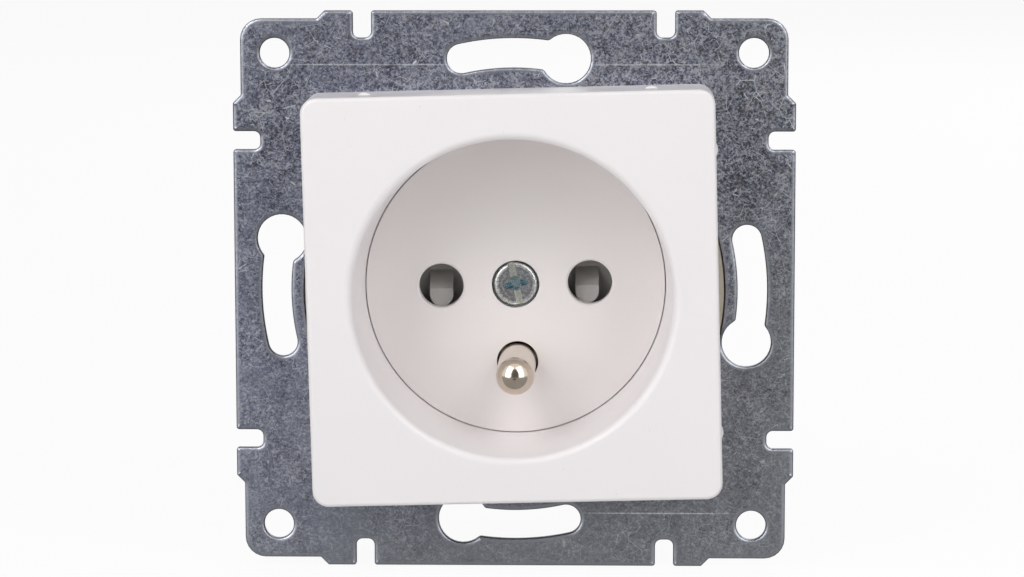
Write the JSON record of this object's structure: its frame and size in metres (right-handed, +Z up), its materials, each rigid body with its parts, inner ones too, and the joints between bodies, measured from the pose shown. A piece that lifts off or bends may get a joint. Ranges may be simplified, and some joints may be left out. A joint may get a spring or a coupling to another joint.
{
  "type": "wall socket",
  "caption": "Flush wall socket with a square white cover, a deep round dish, an earth pin and shuttered pin holes, on a pressed zinc-coated plate.",
  "frame": {"origin": "centre of the mounting plate's back face, on the wall's surface", "axes": "-Y out of the wall towards the user, +Z up, +X to the right seen from the front"},
  "size_m": [0.0706, 0.0368, 0.0706],
  "materials": {
    "galvanised_steel": "mottled zinc",
    "zinc_steel": "bright zinc",
    "white_plastic": "satin",
    "white_plastic_inner": "satin",
    "grey_plastic": "matt",
    "cream_plastic": "moulded",
    "brass": "stamped",
    "spring_steel": "drawn",
    "nickel": "turned and nickel plated"
  },
  "bodies": {
    "housing": {"mounting_plate": "galvanised_steel", "plate_rivets": "zinc_steel", "cover_frame": "white_plastic", "floor_plate": "white_plastic_inner", "centre_screw": "zinc_steel", "centre_nut": "zinc_steel", "shutter_spring": "spring_steel", "shutter_keeper": "cream_plastic", "base": "cream_plastic", "line_contact": "brass", "neutral_contact": "brass", "contact_clips": "spring_steel", "line_screw": "zinc_steel", "neutral_screw": "zinc_steel", "earth_screw": "zinc_steel", "line_clamp": "zinc_steel", "neutral_clamp": "zinc_steel", "earth_clamp": "zinc_steel", "earth_pin": "nickel", "earth_strap": "brass"},
    "shutter": {"shutter": "grey_plastic"}
  },
  "joints": [
    {"name": "shutter_slide", "type": "slide", "parent": "housing", "child": "shutter", "axis": [0.0244, 0, -0.9997], "range_m": [0, 0.0058], "stiffness_N_per_m": 60, "springref_m": -0.004, "deforming": ["shutter_spring"]}
  ]
}
